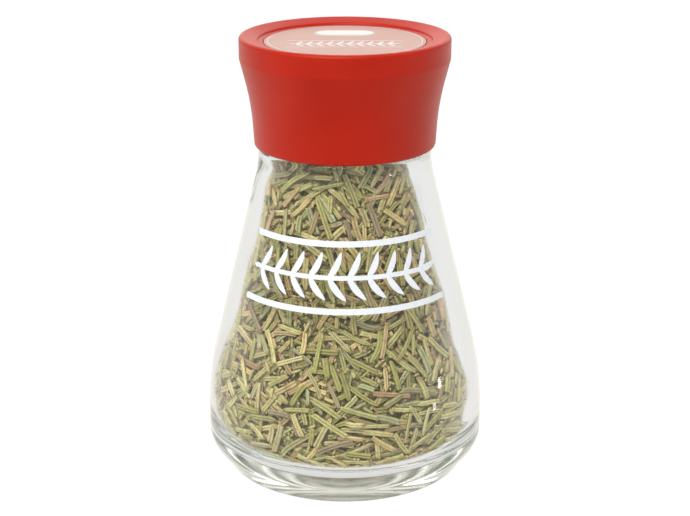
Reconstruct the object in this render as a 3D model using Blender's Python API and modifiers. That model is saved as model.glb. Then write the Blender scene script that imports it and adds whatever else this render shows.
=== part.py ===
"""Glass spice jar of dried rosemary with a flared screw cap.

The origin is the centre of the resting face, +Z is the jar's axis and the front of the jar faces -Y.
The blown jar, the two-part cap with its wad and label, the heap of leaves that fills the jar and the
loose leaves on top of the heap are separate objects. The cap turns and climbs on the thread of the neck.
"""

import math
import random

import bmesh
import bpy

MM = 0.001
CLEARANCE = 0.3

# Outside of the glass, in millimetres.
JAR_HEIGHT = 90.0
BELLY_RADIUS = 31.95
HEEL_HEIGHT = 6.3
BELLY_TOP = 21.0
SHOULDER_RADIUS = 19.45
SHOULDER_BASE = 71.6
SHOULDER_TOP = 75.4
NECK_RADIUS = 16.5
NECK_BASE = 76.9
FOOT_RADIUS = 27.4
REST_RING_INNER = 23.0
PUSH_UP_RADIUS = 21.6
PUSH_UP_HEIGHT = 1.5

# Inside of the glass.
BORE_RADIUS = 14.3
BORE_BASE = 79.0
THROAT_RADIUS = 16.2
THROAT_TOP = 75.0
THROAT_BASE = 70.0
CAVITY_RADIUS = 29.45
CAVITY_BELLY_TOP = 18.5
FLOOR_HEIGHT = 5.4
FLOOR_CROWN = 0.6

# Screw thread shared by the neck and the insert.
THREAD_PITCH = 3.2
THREAD_BEAD = 0.85
THREAD_START = 83.0
NECK_THREAD_TURNS = (0.0, 1.5)
CAP_THREAD_TURNS = (0.25, 1.25)
POINTS_PER_TURN = 24

# Insert, wad and shell of the cap.
INSERT_BORE = 17.8
INSERT_RADIUS = 18.8
INSERT_BOTTOM = 77.3
INSERT_TOP = 93.2
INSERT_PLATE = 1.6
FLANGE_RADIUS = 20.9
WAD_RADIUS = 17.4
WAD_THICKNESS = 1.0
CAP_BOTTOM = 75.7
CAP_TOP = 100.2
CAP_FOOT_RADIUS = 20.3
CAP_WAIST_RADIUS = 20.89
CAP_WAIST_HEIGHT = 85.4
LIP_RADIUS = 23.4
LIP_BOTTOM = 95.3
CAP_WALL = 1.2
RECESS_RADIUS = 20.3
RECESS_DEPTH = 1.3
LABEL_RADIUS = 17.9
LABEL_THICKNESS = 0.25
TOP_PLATE_BOTTOM = 97.0
HOLD_DOWN_RADII = (18.5, 19.7)
GROOVE_RADIUS = 21.2
SNAP_BEAD_RADIUS = 20.5

# Leaves.
HEAP_TOP = 80.0
LEAF_WIDTH = 1.15
LEAF_THICKNESS = 0.8
LEAF_LENGTHS = (5.2, 6.2, 7.2)
LEAF_BOW = 0.35
LEAF_ROWS = (-9.0, -5.4, -1.8, 1.8, 5.4, 9.0)
LEAF_LAYERS = 2
LEAF_LAYER_PITCH = 1.25
LEAF_TURN_LIMIT = math.radians(7.0)
LAYER_DIRECTIONS = (math.radians(25.0), math.radians(100.0))

ROUND_STEPS = 48


def clear_scene():
    """Remove every object of the open scene."""
    for old in list(bpy.data.objects):
        bpy.data.objects.remove(old, do_unlink=True)


def new_collection(name):
    """Make a collection and link it to the scene."""
    collection = bpy.data.collections.new(name)
    bpy.context.scene.collection.children.link(collection)
    return collection


def make_material(name, color, roughness, transmission=0.0):
    """Make a plain Principled material."""
    material = bpy.data.materials.new(name)
    material.use_nodes = True
    shader = material.node_tree.nodes["Principled BSDF"]
    shader.inputs["Base Color"].default_value = (*color, 1.0)
    shader.inputs["Roughness"].default_value = roughness
    shader.inputs["Metallic"].default_value = 0.0
    shader.inputs["Transmission Weight"].default_value = transmission
    return material


def fillet(before, corner, after, radius, segments):
    """Return the arc that rounds one corner of an outline, as (r, z) points."""
    to_before = (before[0] - corner[0], before[1] - corner[1])
    to_after = (after[0] - corner[0], after[1] - corner[1])
    length_before = math.hypot(*to_before)
    length_after = math.hypot(*to_after)
    u = (to_before[0] / length_before, to_before[1] / length_before)
    v = (to_after[0] / length_after, to_after[1] / length_after)
    half = 0.5 * math.acos(max(-1.0, min(1.0, u[0] * v[0] + u[1] * v[1])))
    reach = radius / math.tan(half)
    bisector = (u[0] + v[0], u[1] + v[1])
    scale = radius / math.sin(half) / math.hypot(*bisector)
    centre = (corner[0] + bisector[0] * scale, corner[1] + bisector[1] * scale)
    first = (corner[0] + u[0] * reach - centre[0], corner[1] + u[1] * reach - centre[1])
    last = (corner[0] + v[0] * reach - centre[0], corner[1] + v[1] * reach - centre[1])
    turn = math.atan2(first[0] * last[1] - first[1] * last[0], first[0] * last[0] + first[1] * last[1])
    arc = []
    for step in range(segments + 1):
        angle = turn * step / segments
        x = first[0] * math.cos(angle) - first[1] * math.sin(angle)
        z = first[0] * math.sin(angle) + first[1] * math.cos(angle)
        arc.append((centre[0] + x, centre[1] + z))
    return arc


def rounded_outline(corners):
    """Turn corners (r, z, fillet radius, segments) into an outline of (r, z) points."""
    outline = [corners[0][:2]]
    for before, corner, after in zip(corners, corners[1:], corners[2:]):
        if len(corner) == 2:
            outline.append(corner)
        else:
            outline += fillet(before, corner[:2], after, corner[2], corner[3])
    outline.append(corners[-1][:2])
    return outline


def turned(name, outline, material, collection):
    """Make a solid of revolution about Z from an outline that starts and ends on the axis."""
    mesh = bpy.data.meshes.new(name)
    points = [(r * MM, 0.0, z * MM) for r, z in outline]
    edges = [(i, i + 1) for i in range(len(points) - 1)]
    mesh.from_pydata(points, edges, [])
    turned_object = bpy.data.objects.new(name, mesh)
    collection.objects.link(turned_object)
    screw = turned_object.modifiers.new("Turn", "SCREW")
    screw.axis = "Z"
    screw.angle = math.tau
    screw.steps = ROUND_STEPS
    screw.render_steps = ROUND_STEPS
    screw.use_merge_vertices = True
    screw.merge_threshold = 0.00001
    screw.use_smooth_shade = True
    mesh.materials.append(material)
    return turned_object


def smooth_by_angle(model, degrees=35.0):
    """Shade a plain mesh smooth, with its corners kept sharp."""
    model.data.shade_smooth()
    model.data.set_sharp_from_angle(angle=math.radians(degrees))


def curve_to_mesh_object(curve_object, collection):
    """Replace a bevelled curve by a closed mesh object of the same name and place."""
    name = curve_object.name
    depsgraph = bpy.context.evaluated_depsgraph_get()
    mesh = bpy.data.meshes.new_from_object(curve_object.evaluated_get(depsgraph))
    weld = bmesh.new()
    weld.from_mesh(mesh)
    bmesh.ops.remove_doubles(weld, verts=weld.verts, dist=0.000001)
    bmesh.ops.recalc_face_normals(weld, faces=weld.faces)
    weld.to_mesh(mesh)
    weld.free()
    matrix = curve_object.matrix_world.copy()
    bpy.data.objects.remove(curve_object, do_unlink=True)
    mesh_object = bpy.data.objects.new(name, mesh)
    mesh_object.matrix_world = matrix
    collection.objects.link(mesh_object)
    return mesh_object


def thread_bead(name, radius, turns, height, collection):
    """Make a helical bead whose ends run out into the wall, as a joining tool."""
    curve = bpy.data.curves.new(name, "CURVE")
    curve.dimensions = "3D"
    curve.bevel_depth = THREAD_BEAD * MM
    curve.bevel_resolution = 2
    curve.use_fill_caps = True
    count = round((turns[1] - turns[0]) * POINTS_PER_TURN) + 1
    spline = curve.splines.new("POLY")
    spline.points.add(count - 1)
    for index, point in enumerate(spline.points):
        turn = turns[0] + (turns[1] - turns[0]) * index / (count - 1)
        angle = turn * math.tau
        x = radius * MM * math.cos(angle)
        y = radius * MM * math.sin(angle)
        z = (height + THREAD_PITCH * turn) * MM
        point.co = (x, y, z, 1.0)
        from_end = min(index, count - 1 - index)
        point.radius = min(1.0, 0.4 + 0.2 * from_end)
    bead = bpy.data.objects.new(name, curve)
    collection.objects.link(bead)
    bpy.context.view_layer.update()
    bead = curve_to_mesh_object(bead, collection)
    bead.hide_render = True
    bead.display_type = "WIRE"
    return bead


def join_bead(model, bead):
    """Unite a turned piece with its thread bead."""
    union = model.modifiers.new("Thread", "BOOLEAN")
    union.operation = "UNION"
    union.solver = "EXACT"
    union.object = bead


def cavity_corners(inset):
    """Return the corners of the cavity from the throat down to the floor, moved inwards by inset."""
    return [
        (BORE_RADIUS - inset, BORE_BASE, 3.0, 2),
        (THROAT_RADIUS - inset, THROAT_TOP, 5.0, 2),
        (THROAT_RADIUS - inset, THROAT_BASE, 18.0, 3),
        (CAVITY_RADIUS - inset, CAVITY_BELLY_TOP, 55.0, 4),
        (CAVITY_RADIUS - inset, FLOOR_HEIGHT + inset, 5.5 - inset, 5),
        (0.0, FLOOR_HEIGHT + FLOOR_CROWN + inset),
    ]


def build_jar(material, parts, tools):
    """Blown jar with a push-up base, a thick wall and a threaded neck."""
    inside = list(reversed(cavity_corners(0.0)))
    outside = [
        (BORE_RADIUS, JAR_HEIGHT, 0.7, 2),
        (NECK_RADIUS, JAR_HEIGHT, 0.7, 2),
        (NECK_RADIUS, NECK_BASE, 0.5, 2),
        (SHOULDER_RADIUS, SHOULDER_TOP, 1.2, 3),
        (SHOULDER_RADIUS, SHOULDER_BASE, 20.0, 3),
        (BELLY_RADIUS, BELLY_TOP, 65.0, 5),
        (BELLY_RADIUS, HEEL_HEIGHT, 5.0, 3),
        (FOOT_RADIUS, 0.0, 1.6, 2),
        (REST_RING_INNER, 0.0, 0.4, 1),
        (PUSH_UP_RADIUS, PUSH_UP_HEIGHT, 0.8, 1),
        (0.0, PUSH_UP_HEIGHT),
    ]
    jar = turned("glass_jar", rounded_outline(inside + outside), material, parts)
    bead = thread_bead("neck_thread_tool", NECK_RADIUS, NECK_THREAD_TURNS, THREAD_START, tools)
    join_bead(jar, bead)
    return jar


def build_cap_shell(material, parts):
    """Flared outer shell with a lip, a recessed top, a label pocket and the seat of the insert."""
    recess = CAP_TOP - RECESS_DEPTH
    pocket = recess - LABEL_THICKNESS - CLEARANCE
    flange_bottom = INSERT_TOP - INSERT_PLATE + 0.1
    inner_foot = CAP_FOOT_RADIUS - CAP_WALL
    inner_waist = CAP_WAIST_RADIUS - CAP_WALL
    corners = [
        (0.0, pocket),
        (LABEL_RADIUS + CLEARANCE, pocket),
        (LABEL_RADIUS + CLEARANCE, recess),
        (RECESS_RADIUS, recess, 0.3, 1),
        (RECESS_RADIUS + 0.1, CAP_TOP, 0.3, 1),
        (LIP_RADIUS, CAP_TOP, 0.8, 3),
        (LIP_RADIUS, LIP_BOTTOM, 1.2, 2),
        (CAP_WAIST_RADIUS, CAP_WAIST_HEIGHT, 57.0, 4),
        (CAP_FOOT_RADIUS, CAP_BOTTOM, 0.6, 2),
        (inner_foot, CAP_BOTTOM, 0.3, 1),
        (inner_waist, CAP_WAIST_HEIGHT, 57.0, 2),
        (SNAP_BEAD_RADIUS + 0.3, flange_bottom - 1.3),
        (SNAP_BEAD_RADIUS, flange_bottom - 0.8),
        (SNAP_BEAD_RADIUS, flange_bottom - CLEARANCE),
        (GROOVE_RADIUS, flange_bottom - 0.1),
        (GROOVE_RADIUS, INSERT_TOP + CLEARANCE),
        (LIP_RADIUS - CAP_WALL, INSERT_TOP + 1.2),
        (LIP_RADIUS - CAP_WALL, TOP_PLATE_BOTTOM, 0.5, 1),
        (HOLD_DOWN_RADII[1], TOP_PLATE_BOTTOM),
        (HOLD_DOWN_RADII[1], INSERT_TOP + CLEARANCE),
        (HOLD_DOWN_RADII[0], INSERT_TOP + CLEARANCE),
        (HOLD_DOWN_RADII[0], TOP_PLATE_BOTTOM),
        (0.0, TOP_PLATE_BOTTOM),
    ]
    return turned("cap_shell", rounded_outline(corners), material, parts)


def build_insert(material, parts, tools):
    """Threaded closure cup with the flange that snaps into the shell."""
    plate_bottom = INSERT_TOP - INSERT_PLATE
    corners = [
        (0.0, INSERT_TOP),
        (FLANGE_RADIUS, INSERT_TOP, 0.3, 1),
        (FLANGE_RADIUS, plate_bottom + 0.1, 0.3, 1),
        (INSERT_RADIUS, plate_bottom + 0.1),
        (INSERT_RADIUS, INSERT_BOTTOM, 0.3, 1),
        (INSERT_BORE, INSERT_BOTTOM, 0.3, 1),
        (INSERT_BORE, plate_bottom),
        (0.0, plate_bottom),
    ]
    insert = turned("threaded_insert", rounded_outline(corners), material, parts)
    height = THREAD_START - 0.5 * THREAD_PITCH
    bead = thread_bead("cap_thread_tool", INSERT_BORE, CAP_THREAD_TURNS, height, tools)
    join_bead(insert, bead)
    return insert


def build_disc(name, radius, bottom, thickness, edge, material, parts):
    """Thin round disc with eased edges."""
    corners = [
        (0.0, bottom + thickness),
        (radius, bottom + thickness, edge, 1),
        (radius, bottom, edge, 1),
        (0.0, bottom),
    ]
    return turned(name, rounded_outline(corners), material, parts)


def build_heap(material, parts):
    """Bulk of the dried leaves, a clearance away from the glass."""
    corners = [
        (0.0, HEAP_TOP),
        (BORE_RADIUS - CLEARANCE, HEAP_TOP),
    ]
    corners += cavity_corners(CLEARANCE)
    return turned("rosemary_heap", rounded_outline(corners), material, parts)


def leaf_section(tools):
    """Make the cross-section of a leaf: a rounded back and margins rolled under beside a groove."""
    half_width = 0.5 * LEAF_WIDTH * MM
    half_height = 0.5 * LEAF_THICKNESS * MM
    outline = [
        (-1.0, 0.0), (-0.7, 0.75), (0.0, 1.0), (0.7, 0.75), (1.0, 0.0),
        (0.7, -0.95), (0.25, -0.85), (0.0, -0.25), (-0.25, -0.85), (-0.7, -0.95),
    ]
    curve = bpy.data.curves.new("leaf_section", "CURVE")
    curve.dimensions = "2D"
    spline = curve.splines.new("POLY")
    spline.points.add(len(outline) - 1)
    for point, (x, y) in zip(spline.points, outline):
        point.co = (x * half_width, y * half_height, 0.0, 1.0)
    spline.use_cyclic_u = True
    section = bpy.data.objects.new("leaf_section", curve)
    tools.objects.link(section)
    return section


def leaf_mesh(length, section, material, tools):
    """Sweep the section along a gently bowed midrib with narrowed ends."""
    widths = (0.62, 0.95, 1.0, 0.97, 0.8, 0.5)
    curve = bpy.data.curves.new("leaf", "CURVE")
    curve.dimensions = "3D"
    curve.bevel_mode = "OBJECT"
    curve.bevel_object = section
    curve.use_fill_caps = True
    spline = curve.splines.new("POLY")
    spline.points.add(len(widths) - 1)
    for index, point in enumerate(spline.points):
        along = index / (len(widths) - 1) - 0.5
        bow = LEAF_BOW * (1.0 - 4.0 * along * along)
        point.co = (along * length * MM, bow * MM, 0.0, 1.0)
        point.radius = widths[index]
    leaf = bpy.data.objects.new("leaf_master", curve)
    tools.objects.link(leaf)
    bpy.context.view_layer.update()
    leaf = curve_to_mesh_object(leaf, tools)
    smooth_by_angle(leaf)
    mesh = leaf.data
    mesh.materials.append(material)
    bpy.data.objects.remove(leaf, do_unlink=True)
    return mesh


def leaf_places():
    """Yield the place and heading of each loose leaf, in rows that fill the neck."""
    jitter = random.Random(7)
    room = BORE_RADIUS - 1.4
    first_layer = HEAP_TOP + CLEARANCE + 0.5 * LEAF_THICKNESS
    for layer in range(LEAF_LAYERS):
        direction = LAYER_DIRECTIONS[layer]
        height = first_layer + layer * LEAF_LAYER_PITCH
        for row in LEAF_ROWS:
            half_chord = math.sqrt(room * room - row * row)
            single = half_chord < 1.2 * max(LEAF_LENGTHS) + CLEARANCE + 1.0
            centres = (0.0,) if single else (-0.5 * half_chord, 0.5 * half_chord)
            for along in centres:
                along += jitter.uniform(-0.8, 0.8) if single else 0.0
                x = along * math.cos(direction) - row * math.sin(direction)
                y = along * math.sin(direction) + row * math.cos(direction)
                heading = direction + jitter.uniform(-LEAF_TURN_LIMIT, LEAF_TURN_LIMIT)
                yield x, y, height, heading


def build_leaves(material, parts, tools):
    """Lay the loose leaves on the heap, each one its own object."""
    section = leaf_section(tools)
    meshes = [leaf_mesh(length, section, material, tools) for length in LEAF_LENGTHS]
    bpy.data.objects.remove(section, do_unlink=True)
    for index, (x, y, z, heading) in enumerate(leaf_places()):
        mesh = meshes[(index * 2) % len(meshes)]
        leaf = bpy.data.objects.new(f"leaf_{index + 1:02d}", mesh)
        leaf.location = (x * MM, y * MM, z * MM)
        leaf.rotation_euler = (0.0, 0.0, heading)
        parts.objects.link(leaf)


def main():
    """Build the whole jar."""
    clear_scene()
    parts = new_collection("rosemary_spice_jar")
    tools = new_collection("tools")
    glass = make_material("glass", (0.93, 0.96, 0.94), 0.03, transmission=1.0)
    red_plastic = make_material("red_plastic", (0.50, 0.02, 0.012), 0.42)
    natural_plastic = make_material("natural_plastic", (0.82, 0.8, 0.76), 0.45)
    wad_board = make_material("wad_board", (0.85, 0.84, 0.8), 0.7)
    label_paper = make_material("label_paper", (0.74, 0.42, 0.36), 0.3)
    dried_leaf = make_material("dried_leaf", (0.25, 0.25, 0.1), 0.75)
    build_jar(glass, parts, tools)
    build_cap_shell(red_plastic, parts)
    build_insert(natural_plastic, parts, tools)
    wad_bottom = JAR_HEIGHT + CLEARANCE
    build_disc("cap_liner", WAD_RADIUS, wad_bottom, WAD_THICKNESS, 0.2, wad_board, parts)
    label_bottom = CAP_TOP - RECESS_DEPTH - LABEL_THICKNESS
    build_disc("lid_label", LABEL_RADIUS, label_bottom, LABEL_THICKNESS, 0.05, label_paper, parts)
    build_heap(dried_leaf, parts)
    build_leaves(dried_leaf, parts, tools)


main()
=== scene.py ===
"""Looks of the spice jar: glass, printed band, cap, label and some thousand dried rosemary leaves."""

import math

import bpy
import numpy as np
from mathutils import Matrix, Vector


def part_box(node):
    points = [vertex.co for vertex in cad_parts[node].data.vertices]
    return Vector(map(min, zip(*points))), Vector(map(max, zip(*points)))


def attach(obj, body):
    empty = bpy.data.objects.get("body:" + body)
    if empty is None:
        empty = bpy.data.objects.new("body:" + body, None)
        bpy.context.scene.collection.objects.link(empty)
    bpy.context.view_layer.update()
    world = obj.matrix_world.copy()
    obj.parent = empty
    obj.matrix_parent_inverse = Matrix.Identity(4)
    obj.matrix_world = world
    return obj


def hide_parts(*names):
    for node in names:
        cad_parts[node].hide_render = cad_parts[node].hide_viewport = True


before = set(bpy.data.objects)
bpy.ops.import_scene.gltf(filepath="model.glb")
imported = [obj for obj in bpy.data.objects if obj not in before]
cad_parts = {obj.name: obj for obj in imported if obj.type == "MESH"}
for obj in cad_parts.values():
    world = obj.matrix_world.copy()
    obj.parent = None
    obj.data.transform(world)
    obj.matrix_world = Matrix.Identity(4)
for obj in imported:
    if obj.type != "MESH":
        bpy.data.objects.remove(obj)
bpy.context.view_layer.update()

MM = 0.001

# Heights that the frame gives, in millimetres.
JAR_LOW, JAR_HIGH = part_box("glass_jar")
CAP_LOW, CAP_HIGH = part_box("cap_shell")
HEAP_LOW, HEAP_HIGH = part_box("rosemary_heap")
JAR_HEIGHT = JAR_HIGH[2] / MM
BELLY_RADIUS = JAR_HIGH[0] / MM
CAP_BOTTOM = CAP_LOW[2] / MM
CAP_TOP = CAP_HIGH[2] / MM
LIP_RADIUS = CAP_HIGH[0] / MM
HEAP_TOP = HEAP_HIGH[2] / MM

# Glass, as in the construction but for the taller push-up, the crowned floor and the uneven wall.
HEEL_HEIGHT = 6.3
BELLY_TOP = 21.0
SHOULDER_RADIUS = 19.45
SHOULDER_BASE = 71.6
SHOULDER_TOP = 75.4
NECK_RADIUS = 16.5
NECK_BASE = 76.9
FOOT_RADIUS = 27.4
HEEL_ROUNDING = 6.5
REST_RING_INNER = 24.4
PUSH_UP_RADIUS = 18.6
PUSH_UP_EDGE = 0.8
PUSH_UP_HEIGHT = 5.5
BORE_RADIUS = 14.3
BORE_BASE = 79.0
THROAT_RADIUS = 16.2
THROAT_TOP = 75.0
THROAT_BASE = 70.0
CAVITY_RADIUS = 29.45
CAVITY_BELLY_TOP = 18.5
FLOOR_HEIGHT = 5.73
FLOOR_CORNER = 7.1
FLOOR_CROWN = 2.26
THREAD_PITCH = 3.2
THREAD_BEAD = 0.85
THREAD_START = 83.0
THREAD_TURNS = 1.5
GLASS_STEPS = 256
FLOOR_STEPS = 12
PUSH_UP_STEPS = 24
SWAY_REACH = 12.0
WALL_SHIFT = 0.6
CONE_THICKENING = 0.35
CONTENTS_GAP = 0.12


# ---- outlines and turned shapes

def fillet(before, corner, after, radius, segments):
    """Return the arc that rounds one corner of an outline, as (r, z) points."""
    to_before = (before[0] - corner[0], before[1] - corner[1])
    to_after = (after[0] - corner[0], after[1] - corner[1])
    length_before = math.hypot(*to_before)
    length_after = math.hypot(*to_after)
    u = (to_before[0] / length_before, to_before[1] / length_before)
    v = (to_after[0] / length_after, to_after[1] / length_after)
    half = 0.5 * math.acos(max(-1.0, min(1.0, u[0] * v[0] + u[1] * v[1])))
    reach = radius / math.tan(half)
    bisector = (u[0] + v[0], u[1] + v[1])
    scale = radius / math.sin(half) / math.hypot(*bisector)
    centre = (corner[0] + bisector[0] * scale, corner[1] + bisector[1] * scale)
    first = (corner[0] + u[0] * reach - centre[0], corner[1] + u[1] * reach - centre[1])
    last = (corner[0] + v[0] * reach - centre[0], corner[1] + v[1] * reach - centre[1])
    turn = math.atan2(first[0] * last[1] - first[1] * last[0], first[0] * last[0] + first[1] * last[1])
    arc = []
    for step in range(segments + 1):
        angle = turn * step / segments
        x = first[0] * math.cos(angle) - first[1] * math.sin(angle)
        z = first[0] * math.sin(angle) + first[1] * math.cos(angle)
        arc.append((centre[0] + x, centre[1] + z))
    return arc


def rounded_outline(corners):
    """Turn corners (r, z, fillet radius, segments) into an outline of (r, z) points."""
    outline = [corners[0][:2]]
    for before, corner, after in zip(corners, corners[1:], corners[2:]):
        if len(corner) == 2:
            outline.append(corner)
        else:
            outline += fillet(before, corner[:2], after, corner[2], corner[3])
    outline.append(corners[-1][:2])
    return outline


def subdivided(outline, longest):
    """Split the long straight runs of an outline, so that the surface can be shaped between them."""
    points = [np.array(outline[0])]
    for a, b in zip(outline, outline[1:]):
        a = np.array(a)
        b = np.array(b)
        parts = max(1, math.ceil(np.linalg.norm(b - a) / longest))
        points += [a + (b - a) * k / parts for k in range(1, parts + 1)]
    return np.array(points)


def new_object(name, vertices, faces):
    """Make a mesh object from points in millimetres."""
    mesh = bpy.data.meshes.new(name)
    mesh.from_pydata((np.asarray(vertices) * MM).tolist(), [], faces)
    mesh.validate()
    made = bpy.data.objects.new(name, mesh)
    bpy.context.scene.collection.objects.link(made)
    return made


def revolved(name, outline, steps, shape=None):
    """Turn an outline that starts and ends on the axis; shape may move each (r, z) by angle."""
    inner = np.asarray(outline)[1:-1]
    angles = np.arange(steps) * math.tau / steps
    r = np.repeat(inner[:, 0][:, None], steps, 1)
    z = np.repeat(inner[:, 1][:, None], steps, 1)
    if shape is not None:
        r, z = shape(r, z, angles[None, :])
    rings = np.stack([r * np.cos(angles), r * np.sin(angles), z], 2).reshape(-1, 3)
    first = (0.0, 0.0, outline[0][1])
    last = (0.0, 0.0, outline[-1][1])
    vertices = np.vstack([rings, [first], [last]])
    count = len(inner)
    faces = []
    for row in range(count - 1):
        for k in range(steps):
            k2 = (k + 1) % steps
            a = row * steps
            b = a + steps
            faces.append((a + k, b + k, b + k2, a + k2))
    for k in range(steps):
        k2 = (k + 1) % steps
        faces.append((count * steps, k, k2))
        faces.append((count * steps + 1, (count - 1) * steps + k2, (count - 1) * steps + k))
    made = new_object(name, vertices, faces)
    made.data.shade_smooth()
    made.data.set_sharp_from_angle(angle=math.radians(50.0))
    return made


# ---- node helpers

def grey(level):
    """Return a neutral colour."""
    return (level, level, level)


class Nodes:
    """Short calls to build one material's node tree."""

    def __init__(self, name):
        self.material = bpy.data.materials.new(name)
        self.material.use_nodes = True
        self.tree = self.material.node_tree
        self.shader = self.tree.nodes["Principled BSDF"]
        self.output = self.tree.nodes["Material Output"]
        self.place = self.add("ShaderNodeTexCoord").outputs["Object"]

    def add(self, kind, **settings):
        node = self.tree.nodes.new(kind)
        for key, value in settings.items():
            setattr(node, key, value)
        return node

    def link(self, source, target):
        self.tree.links.new(source, target)

    def scaled(self, factors):
        node = self.add("ShaderNodeMapping")
        node.inputs["Scale"].default_value = factors
        self.link(self.place, node.inputs["Vector"])
        return node.outputs["Vector"]

    def noise(self, scale, detail=3.0, roughness=0.5, distortion=0.0, vector=None):
        node = self.add("ShaderNodeTexNoise")
        node.inputs["Scale"].default_value = scale
        node.inputs["Detail"].default_value = detail
        node.inputs["Roughness"].default_value = roughness
        node.inputs["Distortion"].default_value = distortion
        self.link(vector if vector is not None else self.place, node.inputs["Vector"])
        return node.outputs["Fac"]

    def ramp(self, value, stops):
        node = self.add("ShaderNodeValToRGB")
        ramp = node.color_ramp
        while len(ramp.elements) < len(stops):
            ramp.elements.new(0.5)
        for element, (position, colour) in zip(ramp.elements, stops):
            element.position = position
            element.color = (*colour, 1.0) if len(colour) == 3 else colour
        self.link(value, node.inputs["Fac"])
        return node.outputs["Color"]

    def ranged(self, value, low, high, from_low=0.0, from_high=1.0):
        node = self.add("ShaderNodeMapRange")
        node.inputs["From Min"].default_value = from_low
        node.inputs["From Max"].default_value = from_high
        node.inputs["To Min"].default_value = low
        node.inputs["To Max"].default_value = high
        self.link(value, node.inputs["Value"])
        return node.outputs["Result"]

    def mixed(self, a, b, factor, blend="MIX"):
        node = self.add("ShaderNodeMix", data_type="RGBA", blend_type=blend)
        for socket, value in ((node.inputs[6], a), (node.inputs[7], b), (node.inputs[0], factor)):
            if isinstance(value, bpy.types.NodeSocket):
                self.link(value, socket)
            elif isinstance(value, (int, float)):
                socket.default_value = value
            else:
                socket.default_value = (*value, 1.0)
        return node.outputs[2]

    def bump(self, height, distance, strength=1.0, below=None):
        node = self.add("ShaderNodeBump")
        node.inputs["Strength"].default_value = strength
        node.inputs["Distance"].default_value = distance
        self.link(height, node.inputs["Height"])
        if below is not None:
            self.link(below, node.inputs["Normal"])
        return node.outputs["Normal"]


# ---- glass

def cavity_corners(inset):
    """Return the corners of the cavity from the throat down to the floor, moved inwards by inset."""
    flat_radius = CAVITY_RADIUS - FLOOR_CORNER
    shares = [1 - k / FLOOR_STEPS for k in range(FLOOR_STEPS + 1)]
    floor = [(flat_radius * t, FLOOR_HEIGHT + inset + FLOOR_CROWN * (1 - t * t)) for t in shares]
    return [
        (BORE_RADIUS - inset, BORE_BASE, 1.5, 4),
        (THROAT_RADIUS - inset, THROAT_TOP, 5.0, 6),
        (THROAT_RADIUS - inset, THROAT_BASE, 18.0, 8),
        (CAVITY_RADIUS - inset, CAVITY_BELLY_TOP, 38.0, 14),
        (CAVITY_RADIUS - inset, FLOOR_HEIGHT + inset, FLOOR_CORNER - 0.2 - inset, 14),
    ] + floor


def glass_outline():
    """Return the jar's outline from the floor, up the inside, over the rim and down the outside."""
    inside = list(reversed(cavity_corners(0.0)))
    outside = [
        (BORE_RADIUS, JAR_HEIGHT, 0.7, 5),
        (NECK_RADIUS, JAR_HEIGHT, 0.7, 5),
        (NECK_RADIUS, NECK_BASE, 0.5, 4),
        (SHOULDER_RADIUS, SHOULDER_TOP, 1.2, 8),
        (SHOULDER_RADIUS, SHOULDER_BASE, 20.0, 8),
        (BELLY_RADIUS, BELLY_TOP, 65.0, 14),
        (BELLY_RADIUS, HEEL_HEIGHT, HEEL_ROUNDING, 10),
        (FOOT_RADIUS, 0.0, 1.6, 6),
        (REST_RING_INNER, 0.0, 0.4, 3),
        (PUSH_UP_RADIUS, PUSH_UP_EDGE),
    ]
    shares = [k / PUSH_UP_STEPS for k in range(1, PUSH_UP_STEPS + 1)]
    rise = PUSH_UP_HEIGHT - PUSH_UP_EDGE
    dome = [(PUSH_UP_RADIUS * (1 - t), PUSH_UP_EDGE + rise * (1 - (1 - t) ** 2)) for t in shares]
    return subdivided(rounded_outline(inside + outside) + dome, 0.8)


def wall_wave(angle, z):
    """Return how far the inside of the blown wall stands out from its drawn radius."""
    wave = 0.10 * np.sin(2 * angle + 0.09 * z) + 0.07 * np.sin(3 * angle - 0.13 * z + 1.0)
    wave = wave + 0.04 * np.sin(5 * angle + 0.31 * z + 2.0)
    thick = np.clip((z - 18.0) / 12.0, 0, 1) * np.clip((BORE_BASE - z) / 9.0, 0, 1)
    wave = wave - WALL_SHIFT * np.cos(angle) - CONE_THICKENING * thick
    return wave * np.clip((z - FLOOR_HEIGHT) / 8.0, 0, 1) * np.clip((BORE_BASE - z) / 6.0, 0, 1)


def blown(r, z, angle):
    """Give the wall the slow unevenness of blown glass and raise the thread on the neck."""
    inner = (r < cavity_radius_at(z) + 0.4) & (z > FLOOR_HEIGHT - 0.5) & (z < BORE_BASE)
    r = r + np.where(inner, wall_wave(angle, z) * np.clip(r / SWAY_REACH, 0, 1), 0.0)
    turns = angle / math.tau
    ridge = 0.0
    for wind in range(2):
        turn = turns + wind
        lift = np.clip(np.minimum(turn, THREAD_TURNS - turn) / 0.06, 0, 1)
        away = z - (THREAD_START + THREAD_PITCH * turn)
        bead = np.sqrt(np.clip(THREAD_BEAD**2 - away**2, 0, None)) * lift
        ridge = np.maximum(ridge, np.where(turn <= THREAD_TURNS, bead, 0.0))
    outer = (r > 0.5 * (BORE_RADIUS + NECK_RADIUS)) & (z > NECK_BASE + 1.0) & (z < JAR_HEIGHT - 0.5)
    return r + np.where(outer, ridge, 0.0), z


def cavity_radius_at(z):
    """Return the radius of the cavity at a height."""
    wall = rounded_outline([(BORE_RADIUS, JAR_HEIGHT)] + cavity_corners(0.0))
    heights = np.array([p[1] for p in wall])[::-1]
    radii = np.array([p[0] for p in wall])[::-1]
    return np.interp(z, heights, radii)


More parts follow.
